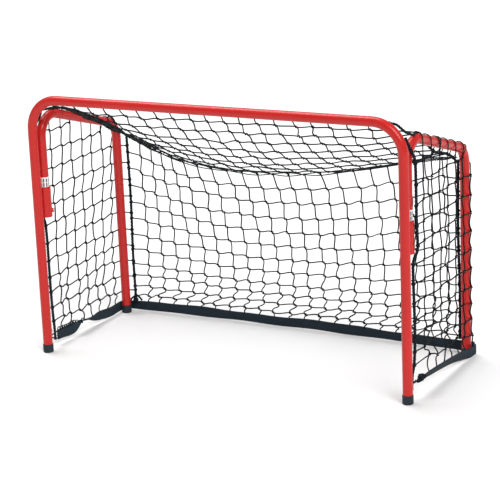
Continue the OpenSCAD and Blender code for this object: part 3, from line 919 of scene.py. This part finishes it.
def over_the_tube(shape, grid, real, side):
    """Strands from the highest knots of each column and row, over the top tube to the seam rope.
    Returns where they reach it."""
    axis = AXES[side]
    seam = seams[side][np.argsort(seams[side][:, 1])]

    def seam_at(y):
        return np.array([np.interp(y, seam[:, 1], seam[:, k]) for k in range(3)])

    ends = []
    for i in range(1, SIDE_COLS):
        top = int(np.argmax(real[:, i]))
        ends.append((grid[top, i], seam_at(min(grid[top, i, 1], 345))))
        for j in range(1, top):
            if real[j, i - 1]:
                ends.append((grid[j, i - 1], seam_at((grid[j, i - 1, 1] + grid[j, i, 1]) / 2 + 4)))
    t = np.linspace(0, 1, 25)[:, None]
    paths = []
    for start, end in ends:
        middle = (start + end) / 2
        nearest = axis[np.argmin(((axis - middle)**2).sum(1))]
        crest = nearest + np.array([side * 0.45, 0, 0.9]) * (TUBE_R + 9)
        paths.append(start + (end - start) * t + np.sin(np.pi * t) * (crest - middle))
    shape.tubes(drawn_tight(np.array(paths), axis), 0.8 * TWINE_R)
    return np.array([end for _, end in ends])


back_grid, back_curl, back_edge = back_sheet()
top_grid, top_curl, bar_ties = top_sheet(back_edge)

# -------- nets


def blend_to_middle(obj):
    """Bakes the placement of a piece at the back into its mesh."""
    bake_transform(obj)


def blend_at_hinge(obj):
    """Bakes the placement of a piece at the side into its mesh."""
    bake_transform(obj)


def blend_fan(obj):
    """Bakes the placement of a piece of the top net into its mesh."""
    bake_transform(obj)


def make_top_net():
    shape = Shape()
    twine_net(shape, top_grid, top_curl, TOP_MESH)
    hitches(shape, bar_ties[1:-1], np.tile([1.0, 0, 0], (COLUMNS - 1, 1)), ROPE_R)
    for border in (0, -1):
        edge = top_grid[1:-1, border]
        hitches(shape, edge, directions_along(edge), SEAM_R, cord_r=0.9)
    for side, part in split_at_middle(shape).items():
        obj = part.mesh("net_top_" + NAME[side], TWINE, "twine")
        blend_fan(obj)
        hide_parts("net_top")


def make_back_net():
    shape = Shape()
    twine_net(shape, back_grid, back_curl, BACK_MESH)
    hitches(shape, back_edge[1:-1], directions_along(back_edge)[1:-1], 1.7, cord_r=0.9)
    for border in (0, -1):
        edge = back_grid[1:-1, border]
        hitches(shape, edge, directions_along(edge), ROPE_R)
    for side, part in split_at_middle(shape).items():
        obj = part.mesh("net_back_" + NAME[side], TWINE, "twine")
        blend_to_middle(obj)
        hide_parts("net_back")


def lacing(shape):
    """Twine wound round the front part of the left strap's higher edge."""
    edge = higher_edge(-1)
    path = evenly(edge[(edge[:, 1] > 54) & (edge[:, 1] < 150)], 260)
    pitch = 9.5
    turn = 2 * np.pi * length_of(path) / pitch * np.linspace(0, 1, len(path))
    path += np.column_stack([3.1 * np.cos(turn), 0 * turn, 4.0 * np.sin(turn) + 1.2])
    shape.tubes(path, 1.25, sides=8)


def make_side_net(side):
    grid, real, curl = side_sheet(side)
    shape = Shape()
    twine_net(shape, grid, curl, SIDE_MESH, flip=-side, wrap=round_the_leg(side), real=real)
    for border in (0, -1):
        edge = grid[real[:, border], border]
        hitches(shape, edge[:-1], directions_along(edge)[:-1], ROPE_R)
    seam_ends = over_the_tube(shape, grid, real, side)
    hitches(shape, seam_ends, np.tile([0, 0.96, -0.28], (len(seam_ends), 1)), SEAM_R, cord_r=0.9)
    if side < 0:
        lacing(shape)
    obj = shape.mesh("net_side_" + NAME[side], TWINE, "twine")
    blend_at_hinge(obj)
    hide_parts("net_" + NAME[side])


# -------- ropes


def laid_rope(path, radius, spacing=1.5, pitch=22):
    """A cord with a ring of points about every spacing."""
    path = evenly(path, max(8, int(length_of(path) / spacing)))
    return Shape().tubes(path, radius, sides=18, pitch=pitch)


def make_crossbar_rope():
    path = evenly([(-403, 14.7, 602.9), (403, 14.7, 602.9)], 640)
    obj = Shape().tubes(path, ROPE_R, sides=18, pitch=22).mesh("rope_along_crossbar", ROPE, "rope")
    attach(obj, "front")
    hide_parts("rope_crossbar")


def make_front_rope(side):
    path = smooth_route(on_side(FRONT_ROPE, side))
    obj = laid_rope(path, ROPE_R).mesh("rope_front_edge_" + NAME[side], ROPE, "rope")
    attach(obj, "front")
    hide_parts("rope_front_" + NAME[side])


def make_corner_tie(side):
    path = smooth_route(on_side(CORNER_TIE, side))
    obj = laid_rope(path, 2.6, pitch=18).mesh("corner_tie_cord_" + NAME[side], ROPE, "rope")
    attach(obj, "front")
    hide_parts("corner_tie_" + NAME[side])


def make_corner_rope(side):
    shape = laid_rope(corner_ropes[side], ROPE_R)
    if side < 0:
        shape.tubes(evenly(smooth_route(TAIL), 90), 2.2, sides=14, pitch=14)
        hitches(shape, [TAIL_KNOT], [(0.2, 0, 1)], 3.6, turns=3, length=9, cord_r=1.9)
    obj = shape.mesh("rope_corner_edge_" + NAME[side], ROPE, "rope")
    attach(obj, BODY[side])
    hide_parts("rope_corner_" + NAME[side])


def make_seam_rope(side):
    count = 300
    radius = 2.5 + 0.2 * np.sin(np.linspace(0, np.pi, count)) ** 2
    shape = Shape().tubes(evenly(seams[side], count), radius, sides=18, pitch=22)
    obj = shape.mesh("rope_seam_edge_" + NAME[side], ROPE, "rope")
    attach(obj, BODY[side])
    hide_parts("rope_seam_" + NAME[side])


def make_slack_edge():
    """The slack back edge: two cords that cross now and then, in a left and a right half."""
    path = evenly(sag, 700)
    x = path[:, 0]
    open_part = smoothstep((x + 428) / 55) * smoothstep((210 - x) / 140)
    spread = 1.4 + 2.4 * open_part
    phase = 0.021 * x + 1.4 * np.sin(x / 83)
    apart = np.column_stack([0 * x, 0.7 * spread * np.sin(phase), spread * np.cos(phase)])
    radius = (1.65 - 0.5 * open_part) * (1 - 0.35 * smoothstep((x - 300) / 60))
    for side in SIDES:
        keep = x * side > -1.5
        shape = Shape()
        for sign in (-1, 1):
            shape.tubes((path + sign * apart)[keep], radius[keep], sides=14, pitch=13)
        obj = shape.mesh("rope_sag_edge_" + NAME[side], ROPE, "rope")
        blend_to_middle(obj)
        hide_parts("rope_sag")


# -------- floor straps


def make_back_strap():
    x = np.linspace(-470, 470, 189)
    low = np.column_stack([x, strap_bow(x) + 1.5 + 1.2 * np.sin(x / 37), 2.8 + 0.7 * np.sin(x / 29)])
    high = np.column_stack([x, strap_bow(x) - 2.0 + 1.0 * np.sin(x / 53), strap_top(x)])
    for side in SIDES:
        keep = x * side > -1
        obj = ribbon(low[keep], high[keep]).mesh("strap_floor_back_" + NAME[side], WEBBING, "webbing")
        blend_to_middle(obj)
        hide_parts("strap_back")


def make_side_strap(side):
    obj = ribbon(*strap_edges(side)).mesh("strap_floor_side_" + NAME[side], WEBBING, "webbing")
    blend_at_hinge(obj)
    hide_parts("strap_" + NAME[side])


def make_strap_tie(side):
    path = smooth_route(on_side(STRAP_TIE, side)) + [0, 0, TIE_LIFT[side]]
    shape = laid_rope(path, 1.5, spacing=1.0, pitch=9)
    if side > 0:
        knot = evenly(smooth_route(STRAP_KNOT), 220)
        for size in (0.78, 0.42):
            shape.tubes(knot.mean(axis=0) + (knot - knot.mean(axis=0)) * size, 2.1, sides=14, pitch=12)
    obj = shape.mesh("strap_tie_cord_" + NAME[side], ROPE, "rope")
    blend_at_hinge(obj)
    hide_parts("strap_tie_" + NAME[side])


make_top_net()
make_back_net()
for side in SIDES:
    make_side_net(side)
make_crossbar_rope()
for side in SIDES:
    make_front_rope(side)
    make_corner_tie(side)
    make_corner_rope(side)
    make_seam_rope(side)
make_slack_edge()
make_back_strap()
for side in SIDES:
    make_side_strap(side)
    make_strap_tie(side)

# -------- floor, light and camera


def plain_floor():
    count = 24
    reach = np.linspace(-14, 14, count)
    points = [(x, y, 0.0) for y in reach for x in reach]
    corners = [j * count + i for j in range(count - 1) for i in range(count - 1)]
    faces = [(k, k + 1, k + count + 1, k + count) for k in corners]
    mesh = bpy.data.meshes.new("studio_floor")
    mesh.from_pydata(points, [], faces)
    obj = bpy.data.objects.new("studio_floor", mesh)
    bpy.context.scene.collection.objects.link(obj)
    look = Look("studio_floor", (0.8, 0.8, 0.8), 0.9, Specular_IOR_Level=0.1)
    look.to("Base Color", look.mix(look.noise(0.7, 2), (0.795, 0.795, 0.795), (0.805, 0.805, 0.805)))
    obj.data.materials.append(look.material)


def sun(name, towards, strength, angle):
    """A soft, far-off light that shines from the given direction."""
    data = bpy.data.lights.new(name, "SUN")
    data.energy = strength
    data.angle = angle
    obj = bpy.data.objects.new(name, data)
    obj.rotation_euler = Vector(towards).to_track_quat("Z", "Y").to_euler()
    bpy.context.scene.collection.objects.link(obj)


def pale_world(strength):
    world = bpy.data.worlds.new("studio")
    world.use_nodes = True
    background = world.node_tree.nodes["Background"]
    background.inputs["Color"].default_value = (1, 1, 1, 1)
    background.inputs["Strength"].default_value = strength
    bpy.context.scene.world = world


def camera():
    """The photo's view; its numbers are the result of a separate fitting program."""
    turn, pitch, roll = (math.radians(a) for a in (29.372, 15.329, -2.398))
    spin = Matrix.Rotation(turn, 3, "Z")
    forward = spin @ Vector((0, math.cos(pitch), -math.sin(pitch)))
    level_right = spin @ Vector((1, 0, 0))
    level_up = level_right.cross(forward)
    right = math.cos(roll) * level_right + math.sin(roll) * level_up
    up = math.cos(roll) * level_up - math.sin(roll) * level_right
    data = bpy.data.cameras.new("camera")
    data.sensor_width = 36
    data.lens = 131.28
    data.clip_end = 60
    obj = bpy.data.objects.new("camera", data)
    rotation = Matrix((right, up, -forward)).transposed()
    obj.matrix_world = Matrix.Translation((1.968, -3.511, 1.350)) @ rotation.to_4x4()
    bpy.context.scene.collection.objects.link(obj)
    bpy.context.scene.camera = obj


plain_floor()
camera()
sun("key", (0.6, -0.4, 0.7), 2.3, 0.6)
sun("top", (-0.4, 0.15, 0.9), 2.3, 0.7)
pale_world(0.36)
bpy.context.scene.view_settings.view_transform = "Standard"
